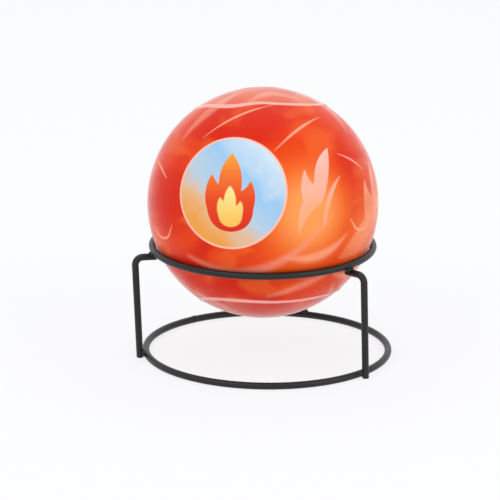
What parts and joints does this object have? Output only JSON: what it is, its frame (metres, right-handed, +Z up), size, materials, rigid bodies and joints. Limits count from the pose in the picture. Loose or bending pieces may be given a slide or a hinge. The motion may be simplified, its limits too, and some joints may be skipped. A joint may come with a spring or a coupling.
{
  "type": "fire extinguisher ball",
  "caption": "Shrink-wrapped dry powder ball with a printed flame pattern, resting in a welded wire stand with a base ring, a cradle ring and three bent legs.",
  "frame": {"origin": "centre of the base ring, on the surface that the stand rests on", "axes": "+Z up; -Y towards the front, which the round emblem faces; +X to the right as seen from the front"},
  "size_m": [0.1693, 0.1639, 0.1762],
  "materials": {
    "black_wire": "satin powder coat",
    "black_weld": "satin powder coat over weld beads",
    "red_film": "glossy shrink film with printed flames",
    "red_cap_film": "glossy film",
    "emblem_rim_ink": "glossy print",
    "emblem_blue_ink": "glossy print",
    "emblem_flame_ink": "glossy print",
    "emblem_core_ink": "glossy print",
    "pale_flame_ink": "glossy print",
    "orange_flame_ink": "glossy print",
    "white_foam": "moulded foam",
    "seam_tape": "plain tape",
    "dry_powder": "packed dry powder",
    "tube_card": "wound card",
    "capsule_filling": "matte",
    "plug_plastic": "moulded",
    "fuse_cord": "braided cord"
  },
  "bodies": {
    "root": {"base_ring": "black_wire", "cradle_ring": "black_wire", "leg_left": "black_wire", "leg_right": "black_wire", "leg_rear": "black_wire", "base_welds": "black_weld", "cradle_welds": "black_weld", "wrap_sleeve": "red_film", "crown_film": "red_cap_film", "bottom_film": "red_cap_film", "emblem_rim": "emblem_rim_ink", "emblem_field": "emblem_blue_ink", "emblem_flame": "emblem_flame_ink", "emblem_core": "emblem_core_ink", "pale_flames": "pale_flame_ink", "orange_flames": "orange_flame_ink", "shell_upper": "white_foam", "shell_lower": "white_foam", "seam_tape": "seam_tape", "powder_fill": "dry_powder", "burst_tube": "tube_card", "burst_charge": "capsule_filling", "tube_plug_top": "plug_plastic", "tube_plug_bottom": "plug_plastic", "fuse_lead_top": "fuse_cord", "fuse_lead_bottom": "fuse_cord", "fuse_ring": "fuse_cord"}
  },
  "joints": []
}
